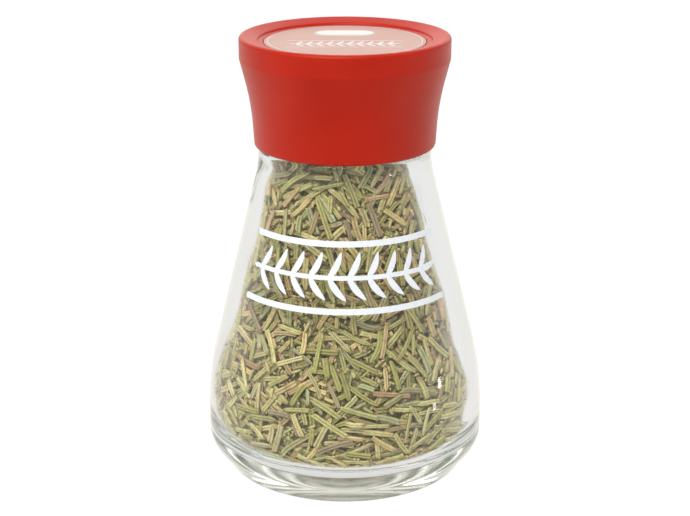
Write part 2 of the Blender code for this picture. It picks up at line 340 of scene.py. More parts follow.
GLASS_INDEX = 1.5
GLASS_ROUGHNESS = 0.006
UNDERSIDE_ROUGHNESS = 0.16
UNDERSIDE_TOP = (0.0054, 0.0057)
UNDERSIDE_RIM = (0.0235, 0.0255)
# Painted shade: the glass's colour darkens where it is seen edge on, in place of darker surroundings
# reflected there.
EDGE_ON_PAINTED_SHADE = [(0.55, (1.0, 1.0, 1.0)), (0.8, (0.75, 0.76, 0.75)), (1.0, (0.55, 0.56, 0.55))]
GLASS_TINT = (0.80, 0.90, 0.83, 1.0)
GLASS_DENSITY = 8.0
LIGHT_THROUGH = (0.95, 0.96, 0.95, 1.0)


def glass_material():
    """Clear glass with painted shade where it is seen edge on, a satin underside; light shines straight
    through it.
    """
    n = Nodes("jar_glass")
    s = n.shader.inputs
    edge = n.add("ShaderNodeLayerWeight")
    edge.inputs["Blend"].default_value = 0.5
    # Painted shade towards the edges of the glass as seen.
    n.link(n.ramp(edge.outputs["Facing"], EDGE_ON_PAINTED_SHADE), s["Base Color"])
    s["Transmission Weight"].default_value = 1.0
    s["IOR"].default_value = GLASS_INDEX
    split = n.add("ShaderNodeSeparateXYZ")
    n.link(n.place, split.inputs[0])
    across = n.add("ShaderNodeVectorMath", operation="LENGTH")
    n.link(n.scaled((1.0, 1.0, 0.0)), across.inputs[0])
    low = n.ranged(split.outputs["Z"], 1.0, 0.0, *UNDERSIDE_TOP)
    underside = n.add("ShaderNodeMath", operation="MULTIPLY")
    n.link(low, underside.inputs[0])
    n.link(n.ranged(across.outputs["Value"], 1.0, 0.0, *UNDERSIDE_RIM), underside.inputs[1])
    n.link(n.ranged(underside.outputs[0], GLASS_ROUGHNESS, UNDERSIDE_ROUGHNESS), s["Roughness"])
    ripple = n.noise(90.0, 1.0)
    n.link(n.bump(ripple, 0.0004, 0.15), s["Normal"])
    absorb = n.add("ShaderNodeVolumeAbsorption")
    absorb.inputs["Color"].default_value = GLASS_TINT
    absorb.inputs["Density"].default_value = GLASS_DENSITY
    n.link(absorb.outputs[0], n.output.inputs["Volume"])
    path = n.add("ShaderNodeLightPath")
    lets_through = n.add("ShaderNodeMath", operation="MAXIMUM")
    n.link(path.outputs["Is Shadow Ray"], lets_through.inputs[0])
    n.link(path.outputs["Is Diffuse Ray"], lets_through.inputs[1])
    clear = n.add("ShaderNodeBsdfTransparent")
    clear.inputs["Color"].default_value = LIGHT_THROUGH
    blend = n.add("ShaderNodeMixShader")
    n.link(lets_through.outputs[0], blend.inputs[0])
    n.link(n.shader.outputs[0], blend.inputs[1])
    n.link(clear.outputs[0], blend.inputs[2])
    n.link(blend.outputs[0], n.output.inputs["Surface"])
    return n.material


# ---- leaves: where they lie

CELL = 0.2
ROUND_CELLS = 900
GLASS_GAP = 0.05
ALONG = np.linspace(-1.0, 1.0, 13)
ACROSS = np.array([-0.8, 0.0, 0.8])
TILTS = np.linspace(-0.24, 0.24, 13)
TRIES = 14
LEVEL_LIKING = -0.03


class Bed:
    """A surface of revolution that leaves are laid on, with the height of what already lies there."""

    def __init__(self, outline):
        outline = np.asarray(outline)
        steps = np.hypot(*np.diff(outline, axis=0).T)
        length = np.concatenate([[0.0], np.cumsum(steps)])
        self.u = np.arange(0.0, length[-1], CELL)
        self.r = np.interp(self.u, length, outline[:, 0])
        self.z = np.interp(self.u, length, outline[:, 1])
        tangent = np.stack([np.gradient(self.r), np.gradient(self.z)])
        self.tr, self.tz = tangent / np.hypot(*tangent)
        self.nr, self.nz = -self.tz, self.tr
        angles = (np.arange(ROUND_CELLS) + 0.5) * math.tau / ROUND_CELLS
        self.cos, self.sin = np.cos(angles), np.sin(angles)
        self.height = np.full((len(self.u), ROUND_CELLS), GLASS_GAP)
        area = np.cumsum(self.r)
        self.share = area / area[-1]
        self.leaves = []

    def frame_at(self, row, angle, heading):
        """Return a point of the bed, and the directions along, across and up from a leaf there."""
        c, s = math.cos(angle), math.sin(angle)
        out = np.array([c, s, 0.0])
        side = np.array([-s, c, 0.0])
        up = np.array([0.0, 0.0, 1.0])
        meridian = self.tr[row] * out + self.tz[row] * up
        normal = self.nr[row] * out + self.nz[row] * up
        along = math.cos(heading) * side + math.sin(heading) * meridian
        across = -math.sin(heading) * side + math.cos(heading) * meridian
        return self.r[row] * out + self.z[row] * up, along, across, normal

    def settle(self, rows, angles, headings, half_length, half_width, half_thick):
        """Press a leaf on each place until it touches, and return its depth and tilt there."""
        s = (ALONG * half_length)[None, None, :]
        q = (ACROSS * half_width)[None, :, None]
        c = np.cos(headings)[:, None, None]
        h = np.sin(headings)[:, None, None]
        r0, z0 = self.r[rows][:, None, None], self.z[rows][:, None, None]
        tr, tz = self.tr[rows][:, None, None], self.tz[rows][:, None, None]
        uphill = s * h + q * c
        x = r0 + uphill * tr
        y = s * c - q * h
        radius = np.hypot(x, y)
        z = z0 + uphill * tz
        row = rows[:, None, None] + ((radius - r0) * tr + (z - z0) * tz) / CELL
        row = np.clip(np.rint(row).astype(int), 0, len(self.u) - 1)
        turn = angles[:, None, None] + np.arctan2(y, x)
        column = np.floor(turn / math.tau * ROUND_CELLS).astype(int) % ROUND_CELLS
        over = (radius - self.r[row]) * self.nr[row] + (z - self.z[row]) * self.nz[row]
        shell = half_thick * np.sqrt(1.0 - 0.8 * ACROSS**2)[None, :, None]
        need = (self.height[row, column] + shell - over).max(1)
        depth = (need[:, None, :] - TILTS[None, :, None] * s[0]).max(2)
        best = depth.argmin(1)
        return depth[np.arange(len(rows)), best], TILTS[best]

    def lay(self, row, angle, heading, depth, tilt, half_length, half_width, half_thick):
        """Raise the height map by a settled leaf and note where the leaf lies."""
        origin, along, across, normal = self.frame_at(row, angle, heading)
        reach = half_length + half_width
        low = max(0, row - int(reach / CELL) - 1)
        high = min(len(self.u), row + int(reach / CELL) + 2)
        span = min(math.pi, reach / max(self.r[low:high].min(), 0.4))
        middle = int(angle / math.tau * ROUND_CELLS)
        wide = min(ROUND_CELLS // 2, int(span / math.tau * ROUND_CELLS) + 2)
        columns = np.arange(middle - wide, middle + wide) % ROUND_CELLS
        r = self.r[low:high, None]
        x = r * self.cos[columns] - origin[0]
        y = r * self.sin[columns] - origin[1]
        z = np.broadcast_to(self.z[low:high, None] - origin[2], x.shape)
        s = x * along[0] + y * along[1] + z * along[2]
        q = x * across[0] + y * across[1] + z * across[2]
        rise = x * normal[0] + y * normal[1] + z * normal[2]
        inside = (np.abs(s) <= half_length) & (np.abs(q) <= half_width)
        bulge = half_thick * np.sqrt(np.clip(1.0 - 0.8 * (q / half_width) ** 2, 0, 1))
        top = np.where(inside, depth + tilt * s - rise + bulge, 0.0)
        patch = self.height[low:high][:, columns]
        self.height[low:high, columns] = np.maximum(patch, top)
        centre = origin + normal * depth
        straight = along + normal * tilt
        straight /= np.linalg.norm(straight)
        outward = -(normal - along * tilt)
        outward /= np.linalg.norm(outward)
        self.leaves.append((centre, straight, outward, half_length, half_width, half_thick, depth))

    def drop(self, random, half_length, half_width, half_thick, tries=TRIES, deepest=9.0, near=None):
        """Lay one leaf on the lowest of a few places."""
        rows = np.searchsorted(self.share, random.random(tries))
        angles = random.random(tries) * math.tau
        if near is not None:
            rows = np.rint(near[0] / CELL + random.normal(0, near[2] / CELL, tries)).astype(int)
            angles = (near[1] + random.normal(0, near[2], tries) / self.r[near[3]]) % math.tau
        rows = np.clip(rows, 0, len(self.u) - 1)
        headings = random.random(tries) * math.pi
        room = half_length * np.abs(np.sin(headings)) / CELL
        fits = (rows - room > 1) | (self.r[0] < 1.0)
        fits &= rows + room < len(self.u) - 1
        if not fits.any():
            return False
        rows, angles, headings = rows[fits], angles[fits], headings[fits]
        depths, tilts = self.settle(rows, angles, headings, half_length, half_width, half_thick)
        level = np.cos(headings) ** 2
        sagitta = 0.5 * half_length**2 * level / np.maximum(self.r[rows], 4.0)
        best = (depths - sagitta - LEVEL_LIKING * level + 0.3 * np.abs(tilts)).argmin()
        if depths[best] > deepest:
            return False
        self.lay(rows[best], angles[best], headings[best], depths[best], tilts[best],
                 half_length, half_width, half_thick)
        return True


# ---- leaves: their shape

BLADE = [
    (-1.0, 0.0), (-0.84, 0.52), (-0.5, 0.9), (-0.17, 0.88),
    (0.0, 0.55), (0.17, 0.88), (0.5, 0.9), (0.84, 0.52),
    (1.0, 0.0), (0.86, -0.6), (0.5, -0.92), (0.2, -0.72),
    (0.0, -0.3), (-0.2, -0.72), (-0.5, -0.92), (-0.86, -0.6),
]
# Painted shade and highlight around the blade's section: darker in the top groove and the underside
# channel, lighter on the rolled margins.
BLADE_PAINTED_SHADE = [1.0, 1.06, 1.08, 0.9, 0.62, 0.9, 1.08, 1.06, 1.0, 1.05, 1.1, 0.8, 0.5, 0.8, 1.1, 1.05]
CHIP = [
    (-1.0, 0.1), (-0.5, 0.95), (0.1, 0.8), (0.55, 0.9),
    (1.0, 0.0), (0.5, -0.9), (-0.1, -0.75), (-0.6, -0.85),
]
# Painted shade in the dents of a chip's section, lighter on its bumps.
CHIP_PAINTED_SHADE = [1.0, 1.05, 0.85, 1.05, 1.0, 1.0, 0.85, 1.0]
ROWS = np.array([-1.0, -0.9, -0.62, -0.3, 0.0, 0.3, 0.62, 0.9, 1.0])
CHIP_ROWS = np.array([-1.0, -0.5, 0.5, 1.0])
CUT, TIP, STALK = 0, 1, 2
END_WIDTHS = {CUT: (0.93, 1.0, 1.0), TIP: (0.16, 0.5, 0.86), STALK: (0.5, 0.72, 0.92)}


def srgb(red, green, blue):
    """Convert 8-bit display values to linear ones."""
    values = np.array([red, green, blue]) / 255.0
    return np.where(values <= 0.04045, values / 12.92, ((values + 0.055) / 1.055) ** 2.4)


LEAF_TONES = [
    (srgb(202, 196, 128), 0.28),
    (srgb(184, 180, 106), 0.18),
    (srgb(226, 214, 152), 0.2),
    (srgb(232, 208, 144), 0.13),
    (srgb(222, 188, 144), 0.06),
    (srgb(194, 158, 114), 0.04),
    (srgb(170, 150, 122), 0.04),
    (srgb(190, 192, 144), 0.07),
]


def row_widths(rows, ends):
    """Return the width of each row of each leaf, from the kinds of its two ends."""
    start = np.array([END_WIDTHS[e] for e in ends[:, 0]])
    finish = np.array([END_WIDTHS[e] for e in ends[:, 1]])
    widths = np.ones((len(ends), len(rows)))
    for k, row in enumerate(rows):
        near = np.array([-1.0, -0.9, -0.62])
        left = np.array([np.interp(row, near, w) for w in start])
        right = np.array([np.interp(-row, near, w) for w in finish])
        widths[:, k] = np.minimum(left, right)
    return widths


def leaf_mesh(name, leaves, random, section, section_shade, rows):
    """Sweep the section along every leaf of a group and return one mesh object of closed leaves."""
    count, sides, bands = len(leaves), len(section), len(rows)
    centre = np.array([leaf[0] for leaf in leaves])
    along = np.array([leaf[1] for leaf in leaves])
    outward = np.array([leaf[2] for leaf in leaves])
    across = np.cross(along, outward)
    half_length, half_width, half_thick = np.array([leaf[3:6] for leaf in leaves]).T
    kinds = np.array([CUT, TIP, STALK])
    ends = kinds[np.array([random.choice(3, 2, p=(0.72, 0.18, 0.10)) for _ in range(count)])]
    widths = row_widths(rows, ends) * random.uniform(0.93, 1.05, (count, bands))
    roll = random.normal(0, 0.18, count) + np.where(random.random(count) < 0.38, math.pi, 0.0)
    turn = roll[:, None] + random.normal(0, 0.10, count)[:, None] * rows
    side_bow = random.normal(0, 0.026, count) * half_length * 2
    lift_bow = random.normal(0, 0.012, count) * half_length * 2
    curve = 1.0 - rows**2
    x, y = np.array(section).T
    sx = x * (half_width[:, None] * widths)[:, :, None]
    sy = y * (half_thick[:, None] * (0.35 + 0.65 * widths))[:, :, None]
    ct, st = np.cos(turn)[:, :, None], np.sin(turn)[:, :, None]
    px = sx * ct - sy * st + (side_bow[:, None] * curve)[:, :, None]
    py = sx * st + sy * ct + (lift_bow[:, None] * curve)[:, :, None]
    slant = random.normal(0, 0.35, (count, 2))
    ps = np.repeat((half_length[:, None] * rows)[:, :, None], sides, 2)
    ps[:, 0, :] += slant[:, :1] * sx[:, 0, :]
    ps[:, -1, :] += slant[:, 1:] * sx[:, -1, :]
    place = centre[:, None, None, :] + ps[..., None] * along[:, None, None, :]
    place = place + px[..., None] * across[:, None, None, :] + py[..., None] * outward[:, None, None, :]

    shares = np.array([share for _, share in LEAF_TONES])
    picks = random.choice(len(LEAF_TONES), count, p=shares / sum(share for _, share in LEAF_TONES))
    other = random.choice(len(LEAF_TONES), count)
    blend = random.beta(1.0, 3.0, count)[:, None]
    palette = np.array([tone for tone, _ in LEAF_TONES])
    base = palette[picks] * (1 - blend) + palette[other] * blend
    base = base * random.uniform(0.86, 1.12, (count, 1))
    drift = 1.0 + random.normal(0, 0.06, (count, bands))
    # Random tone along the leaf, times the painted shade and highlight around the section.
    shade = drift[:, :, None] * np.array(section_shade)[None, None, :]
    colour = base[:, None, None, :] * shade[..., None]
    browning = (random.random(count) < 0.3)[:, None] * np.clip(np.abs(rows)[None, :] - 0.55, 0, 1) * 1.4
    brown = srgb(176, 140, 98)
    colour = colour + (brown - colour) * browning[:, :, None, None]

    ring = np.arange(sides)
    next_ring = (ring + 1) % sides
    quads = []
    for band in range(bands - 1):
        a, b = band * sides, (band + 1) * sides
        quads.append(np.stack([a + ring, a + next_ring, b + next_ring, b + ring], 1))
    quads = np.concatenate(quads)
    caps = np.stack([ring[::-1], (bands - 1) * sides + ring])
    per_leaf = bands * sides
    base_index = (np.arange(count) * per_leaf)[:, None]
    corner_index = np.concatenate([quads.reshape(-1), caps.reshape(-1)])
    totals = np.concatenate([np.full(len(quads), 4), np.full(2, sides)])
    loops = (base_index + corner_index[None, :]).reshape(-1)
    all_totals = np.tile(totals, count)

    mesh = bpy.data.meshes.new(name)
    mesh.vertices.add(count * per_leaf)
    mesh.vertices.foreach_set("co", (place * MM).astype(np.float32).reshape(-1))
    mesh.loops.add(len(loops))
    mesh.loops.foreach_set("vertex_index", loops.astype(np.int32))
    mesh.polygons.add(len(all_totals))
    starts = np.concatenate([[0], np.cumsum(all_totals)[:-1]])
    mesh.polygons.foreach_set("loop_start", starts.astype(np.int32))
    mesh.update(calc_edges=True)
    mesh.shade_smooth()
    flat = np.tile(np.concatenate([np.zeros(len(quads), bool), np.ones(2, bool)]), count)
    mesh.attributes.new("sharp_face", "BOOLEAN", "FACE").data.foreach_set("value", flat)

    flat_colour = colour.reshape(count, per_leaf, 3)
    corners = flat_colour[:, corner_index, :].copy()
    pith = np.clip(base * 0.5 + srgb(200, 184, 138) * 0.55, 0, 1)
    corners[:, len(quads) * 4:, :] = pith[:, None, :]
    rgba = np.ones((count, len(corner_index), 4), np.float32)
    rgba[..., :3] = np.clip(corners, 0, 1)
    # Each corner holds the leaf's own tone with the painted shade of its section.
    tint = mesh.color_attributes.new("leaf_tint_with_painted_shade", "FLOAT_COLOR", "CORNER")
    tint.data.foreach_set("color", rgba.reshape(-1))
    made = bpy.data.objects.new(name, mesh)
    bpy.context.scene.collection.objects.link(made)
    return made


def leaf_material():
    """Dried leaf: its own tint, which carries painted shade in its grooves, fine streaks along the
    blade and pale mottling.
    """
    n = Nodes("dried_leaf_skin")
    # The leaf's own tone, with painted shade in its grooves, from the mesh.
    tint = n.add("ShaderNodeVertexColor", layer_name="leaf_tint_with_painted_shade").outputs["Color"]
    mottle = n.noise(1400.0, 4.0, 0.6)
    grain = n.noise(5200.0, 2.0, 0.6)
    shade = n.ramp(mottle, [(0.3, grey(0.79)), (0.55, grey(1.0)), (0.75, (1.13, 1.12, 1.08))])
    colour = n.mixed(tint, shade, 1.0, "MULTIPLY")
    specks = n.ramp(grain, [(0.35, (0.8, 0.8, 0.78)), (0.6, (1.04, 1.04, 1.02))])
    n.link(n.mixed(colour, specks, 0.8, "MULTIPLY"), n.shader.inputs["Base Color"])
    n.link(n.ranged(mottle, 0.55, 0.8), n.shader.inputs["Roughness"])
    n.shader.inputs["Specular IOR Level"].default_value = 0.28
    rough = n.bump(grain, 0.00006, 0.5)
    n.link(n.bump(mottle, 0.00012, 0.6, rough), n.shader.inputs["Normal"])
    return n.material


# ---- leaves: filling the jar

SECTORS = 6
SKIN_DEPTH = 3.4
LEAF_COUNT = 5600
FINE_DEPTH = 1.9
CRUMB_COUNT = 1500
CRUMBS_AFTER = 1900
# Pockets of crumbs: the way along the inside from the middle of the floor, and the angle.
POCKETS = ((52.0, 4.95), (66.0, 4.3), (80.0, 5.2), (58.0, 1.2), (74.0, 2.6))
POCKET_SPREAD = 2.6
POCKET_CRUMBS = 45
POCKETS_AFTER = 700


def leaf_size(random):
    """Return half the length, width and thickness of one cut leaf."""
    if random.random() < 0.12:
        return random.uniform(0.6, 1.4), random.uniform(0.25, 0.42), random.uniform(0.18, 0.3)
    half_length = float(np.clip(random.normal(3.05, 0.72), 1.4, 4.9))
    half_width = float(np.clip(random.normal(0.6, 0.07), 0.42, 0.76))
    return half_length, half_width, half_width * random.uniform(0.48, 0.62)


def container_outline():
    """Return the inside of the glass from the middle of the floor up to the top of the leaves."""
    wall = rounded_outline([(BORE_RADIUS, HEAP_TOP)] + cavity_corners(0.0))
    return [point for point in reversed(wall) if point[1] < HEAP_TOP - 0.5]


def fill_wall(random):
    """Press leaves against the floor and wall of the jar, layer behind layer."""
    bed = Bed(container_outline())
    pockets = [(u, turn, POCKET_SPREAD, int(u / CELL)) for u, turn in POCKETS]
    for index in range(LEAF_COUNT):
        half_length, half_width, half_thick = leaf_size(random)
        bed.drop(random, half_length, half_width, half_thick, deepest=SKIN_DEPTH)
        if index == POCKETS_AFTER:
            for pocket in pockets:
                for _ in range(POCKET_CRUMBS):
                    size = random.uniform(0.18, 0.42)
                    bed.drop(random, size * random.uniform(1.0, 2.6), size, size * 0.8, 4, near=pocket)
        if index == CRUMBS_AFTER:
            for _ in range(CRUMB_COUNT):
                size = random.uniform(0.14, 0.34)
                bed.drop(random, size * random.uniform(1.0, 2.4), size, size * 0.8, 10, deepest=1.8)
    return bed


def fill_top(random):
    """Heap leaves on the top of the fill, inside the neck."""
    base = HEAP_TOP - 3.2
    bed = Bed([(0.0, base), (BORE_RADIUS - 2.6, base)])
    while bed.height.mean() < 2.0:
        bed.drop(random, *leaf_size(random))
    kept = [leaf for leaf in bed.leaves if leaf[0][2] + leaf[5] < HEAP_TOP]
    return kept


def follow_wall(leaf):
    """Shift a leaf with the uneven wall of the glass, just clear of it."""
    x, y, z = leaf[0]
    radius = math.hypot(x, y)
    shift = (float(wall_wave(math.atan2(y, x), z)) - CONTENTS_GAP) * min(1.0, radius / SWAY_REACH)
    centre = leaf[0] + np.array([x, y, 0.0]) * shift / max(radius, 0.1)
    return (centre, *leaf[1:])


def sector_of(leaf):
    """Return which slice of the jar a leaf lies in."""
    turn = math.atan2(leaf[0][1], leaf[0][0]) % math.tau
    return int(turn / math.tau * SECTORS) % SECTORS


def build_leaves():
    """Make all the dried leaves, in a few groups that ride on the jar."""
    random = np.random.default_rng(2207)
    bed = fill_wall(random)
    groups = {}
    for leaf in map(follow_wall, bed.leaves):
        small = leaf[3] < 1.5
        deep = leaf[6] > FINE_DEPTH
        if small or deep:
            groups.setdefault(f"leaf_bits_{int(deep) + 1}", []).append(leaf)
        else:
            groups.setdefault(f"wall_leaves_{sector_of(leaf) + 1}", []).append(leaf)
    groups["top_leaves"] = fill_top(random)
    skin = leaf_material()
    for name in sorted(groups):
        fine = not name.startswith("leaf_bits")
        section, section_shade, rows = (BLADE, BLADE_PAINTED_SHADE, ROWS) if fine else (CHIP, CHIP_PAINTED_SHADE, CHIP_ROWS)
        made = leaf_mesh(name, groups[name], random, section, section_shade, rows)
        made.data.materials.append(skin)
        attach(made, "jar")


def painted_shade_core_material():
    """Inside of the heap, painted dark as the shade deep among the leaves; seen only through the gaps
    between leaves.
    """
    n = Nodes("heap_core_painted_shade")
    # Painted shade: the leaves' colour darkened to the shade deep inside the heap.
    tone = n.ramp(n.noise(420.0, 4.0, 0.6), [(0.35, (0.20, 0.18, 0.09)), (0.65, (0.38, 0.345, 0.17))])
    n.link(tone, n.shader.inputs["Base Color"])
    n.shader.inputs["Roughness"].default_value = 0.9
    n.link(n.bump(n.noise(900.0, 3.0), 0.0006, 0.8), n.shader.inputs["Normal"])
    return n.material


def build_core():
    """The leaves behind the ones that are modelled singly, as one rough body painted dark as shade."""
    inset = SKIN_DEPTH - 0.3
    corners = [(0.0, HEAP_TOP - 3.0), (THROAT_RADIUS - inset, HEAP_TOP - 3.0, 0.8, 3)]
    corners += cavity_corners(inset)[2:]
    outline = subdivided(rounded_outline(corners), 0.7)

    def lumpy(r, z, angle):
        bumps = np.sin(11 * angle + 1.7 * z) * np.sin(7 * angle - 2.3 * z + 1.0)
        bumps = bumps + 0.6 * np.sin(23 * angle + 3.1 * z + 2.0)
        reach = np.clip(r / SWAY_REACH, 0, 1)
        return r + (0.18 * bumps + wall_wave(angle, z)) * reach, z

    core = revolved("heap_core", outline, 160, lumpy)
    core.data.materials.append(painted_shade_core_material())
    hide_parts("rosemary_heap")
    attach(core, "jar")


# ---- printed band on the glass

PRINT_MIDDLE = 52.0
LINE_OFFSET = 7.1
LINE_WIDTH = 1.3
LINE_SPAN = math.radians(56.5)
INK = 0.03
INK_GAP = 0.01
PRINT_WHITE = (0.86, 0.89, 0.93)
FRONT = -0.5 * math.pi


def cone_radius_at(z):
    """Return the outer radius of the glass at a height."""
    outline = rounded_outline([
        (NECK_RADIUS, NECK_BASE),
        (SHOULDER_RADIUS, SHOULDER_TOP, 1.2, 4),
        (SHOULDER_RADIUS, SHOULDER_BASE, 20.0, 8),
        (BELLY_RADIUS, BELLY_TOP, 65.0, 14),
        (BELLY_RADIUS, HEEL_HEIGHT),
    ])
    heights = np.array([p[1] for p in outline])[::-1]
    radii = np.array([p[0] for p in outline])[::-1]
    return np.interp(z, heights, radii)


def on_glass(angle, height, lift):
    """Return the point over the front of the glass at an angle from the middle, in millimetres."""
    radius = cone_radius_at(height) + lift
    return radius * math.cos(FRONT + angle), radius * math.sin(FRONT + angle), height


def ribbon(rows, place):
    """Return the closed thin strip whose rows are ((a, b) left, (a, b) right) points of a surface."""
    vertices = []
    for left, right in rows:
        vertices += [place(*left, INK_GAP), place(*right, INK_GAP)]
        vertices += [place(*right, INK_GAP + INK), place(*left, INK_GAP + INK)]
    faces = []
    for k in range(len(rows) - 1):
        for side in range(4):
            after = (side + 1) % 4
            faces.append((4 * k + side, 4 * k + after, 4 * k + 4 + after, 4 * k + 4 + side))
    faces.append((3, 2, 1, 0))
    last = 4 * (len(rows) - 1)
    faces.append((last, last + 1, last + 2, last + 3))
    return vertices, faces


def joined(strips):
    """Put several strips into one list of points and faces."""
    vertices, faces = [], []
    for points, polygons in strips:
        start = len(vertices)
        vertices += points
        faces += [tuple(start + k for k in polygon) for polygon in polygons]
    return vertices, faces


def bar_rows(x0, y0, x1, y1, width, steps, round_ends=True):
    """Return the rows of a straight bar with round ends, in the plane."""
    dx, dy = x1 - x0, y1 - y0
    length = math.hypot(dx, dy)
    ux, uy = dx / length, dy / length
    rows = []
    for k in range(steps + 1):
        t = k / steps
        near = min(t, 1 - t) * length
        half = 0.5 * width
        if round_ends and near < half:
            half = math.sqrt(max(half**2 - (half - near) ** 2, (0.12 * half) ** 2))
        x, y = x0 + dx * t, y0 + dy * t
        rows.append(((x - uy * half, y + ux * half), (x + uy * half, y - ux * half)))
    return rows


def needle_rows(x, y, heading, length, width, steps=12):
    """Return the rows of one slender leaf that starts at a point."""
    rows = []
    for k in range(steps + 1):
        t = k / steps
        fullness = math.sin(math.pi * min(1.0, 0.16 + 0.84 * t)) ** 0.6 if t < 1 else 0.0
        half = 0.5 * width * max(0.07, fullness)
        bend = heading + 0.22 * (t - 0.5)
        px = x + length * t * math.cos(bend)
        py = y + length * t * math.sin(bend)
        rows.append(((px - half * math.sin(heading), py + half * math.cos(heading)),
                     (px + half * math.sin(heading), py - half * math.cos(heading))))
    return rows


def sprig_strips(length, height, stroke, place, pairs):
    """Return the strips of a lying rosemary twig, a plain ornament of stem and paired leaves."""
    steps = 60
    stem = bar_rows(-0.5 * length, 0.0, 0.5 * length - 0.12 * length, 0.0, stroke * 0.85, steps)
    strips = [ribbon(stem, place)]
    for k in range(pairs):
        x = length * (-0.44 + 0.83 * k / (pairs - 1))
        reach = 0.5 * height * (1.12 - 0.25 * abs(k / (pairs - 1) - 0.45))
        for side in (1, -1):
            heading = side * math.radians(58.0)
            leaf = needle_rows(x, side * 0.3 * stroke, heading, reach, stroke * 1.25)
            strips.append(ribbon(leaf, place))
    tip = needle_rows(0.5 * length - 0.13 * length, 0.0, 0.0, 0.13 * length, stroke * 1.3)
    strips.append(ribbon(tip, place))
    return strips


def ink_material(name, colour, roughness):
    """Screen-printed ink: a slightly uneven film with fine pinholes in its shine."""
    n = Nodes(name)
    film = n.noise(900.0, 3.0, 0.6)
    light = tuple(min(1.0, c * 1.03) for c in colour)
    dark = tuple(c * 0.95 for c in colour)
    n.link(n.ramp(film, [(0.35, dark), (0.65, light)]), n.shader.inputs["Base Color"])
    n.link(n.ranged(film, roughness - 0.08, roughness + 0.1), n.shader.inputs["Roughness"])
    n.link(n.bump(n.noise(2600.0, 2.0), 0.00003, 0.5), n.shader.inputs["Normal"])
    return n.material


def build_print():
    """White lines and a plain twig ornament, printed around the front of the glass."""
    middle_radius = float(cone_radius_at(PRINT_MIDDLE))

    def place(x, y, lift):
        return on_glass(x / middle_radius, PRINT_MIDDLE + y, lift)

    half = LINE_SPAN * middle_radius
    strips = []
    for side in (1, -1):
        y = side * LINE_OFFSET
        strips.append(ribbon(bar_rows(-half, y, half, y, LINE_WIDTH, 90, False), place))
    strips += sprig_strips(1.94 * half, 10.2, 1.15, place, 10)
    made = new_object("glass_print", *joined(strips))
    made.data.materials.append(ink_material("white_ink", PRINT_WHITE, 0.4))
    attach(made, "jar")


# ---- cap

SATIN_GRAIN = 5200.0
PLASTIC_GLOSS = 0.3
PLASTIC_SHEEN = (1.0, 0.8, 0.62, 1.0)
CAP_RED = (0.465, 0.011, 0.002)
NATURAL_WHITE = (0.78, 0.76, 0.71)
LABEL_INK = (0.71, 0.65, 0.63)
LABEL_GREY = (0.42, 0.47, 0.42)
RING_RADIUS = 17.1
RING_INNER = 16.95
TWIG_BED = -4.0


def plastic(name, colour, roughness):
    """Moulded plastic with a fine satin grain, faint flow marks and slightly uneven shine."""
    n = Nodes(name)
    flow = n.noise(55.0, 3.0, 0.5, 0.6)
    light = tuple(min(1.0, c * 1.07 + 0.002) for c in colour)
    dark = tuple(c * 0.94 for c in colour)
    n.link(n.ramp(flow, [(0.3, dark), (0.7, light)]), n.shader.inputs["Base Color"])
    grain = n.noise(SATIN_GRAIN, 2.0, 0.6)
    smudge = n.noise(180.0, 4.0, 0.65)
    n.link(n.ranged(smudge, roughness - 0.05, roughness + 0.07), n.shader.inputs["Roughness"])
    n.shader.inputs["Specular IOR Level"].default_value = PLASTIC_GLOSS
    n.shader.inputs["Specular Tint"].default_value = PLASTIC_SHEEN
    n.link(n.bump(grain, 0.00003, 0.6), n.shader.inputs["Normal"])
    return n.material


def cap_outline():
    """Return the outline of the flared shell, as in the construction but finer."""
    return subdivided(rounded_outline([
        (0.0, 98.35),
        (18.05, 98.35),
        (18.05, 98.9, 0.12, 2),
        (19.2, 98.9, 0.15, 3),
        (19.35, 99.3, 0.15, 3),
        (22.3, CAP_TOP, 0.8, 5),
        (LIP_RADIUS, CAP_TOP - 0.05, 0.75, 8),
        (LIP_RADIUS, 95.3, 1.3, 6),
        (20.89, 85.4, 57.0, 16),
        (20.3, CAP_BOTTOM, 0.6, 5),
        (19.1, CAP_BOTTOM, 0.3, 3),
        (19.69, 85.4, 57.0, 8),
        (20.8, 90.4),
        (20.5, 90.9),
        (20.5, 91.4),
        (21.2, 91.6),
        (21.2, 93.5),
        (22.2, 94.4),
        (22.2, 97.0, 0.5, 3),
        (19.7, 97.0),
        (19.7, 93.5),
        (18.5, 93.5),
        (18.5, 97.0),
        (0.0, 97.0),
    ]), 1.0)


def build_cap():
    """Red shell of the cap with its lip and recessed top."""
    shell = revolved("red_cap_shell", cap_outline(), 224)
    shell.data.materials.append(plastic("red_satin_plastic", CAP_RED, 0.40))
    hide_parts("cap_shell")
    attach(shell, "cap")
    finish_node("threaded_insert", plastic("natural_polypropylene", NATURAL_WHITE, 0.42))
    finish_node("cap_liner", board_material())
    finish_node("lid_label", painted_sheen_label_material())


def finish_node(node, material):
    """Give a node of the construction its finished material."""
    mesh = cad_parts[node].data
    mesh.materials.clear()
    mesh.materials.append(material)


def board_material():
    """Pulp board of the sealing wad, with fibres."""
    n = Nodes("pulp_board")
    fibres = n.noise(1500.0, 5.0, 0.7, 0.8)
    tone = n.ramp(fibres, [(0.3, (0.70, 0.68, 0.62)), (0.7, (0.88, 0.87, 0.83))])
    n.link(tone, n.shader.inputs["Base Color"])
    n.shader.inputs["Roughness"].default_value = 0.8
    n.link(n.bump(fibres, 0.00008, 0.6), n.shader.inputs["Normal"])
    return n.material


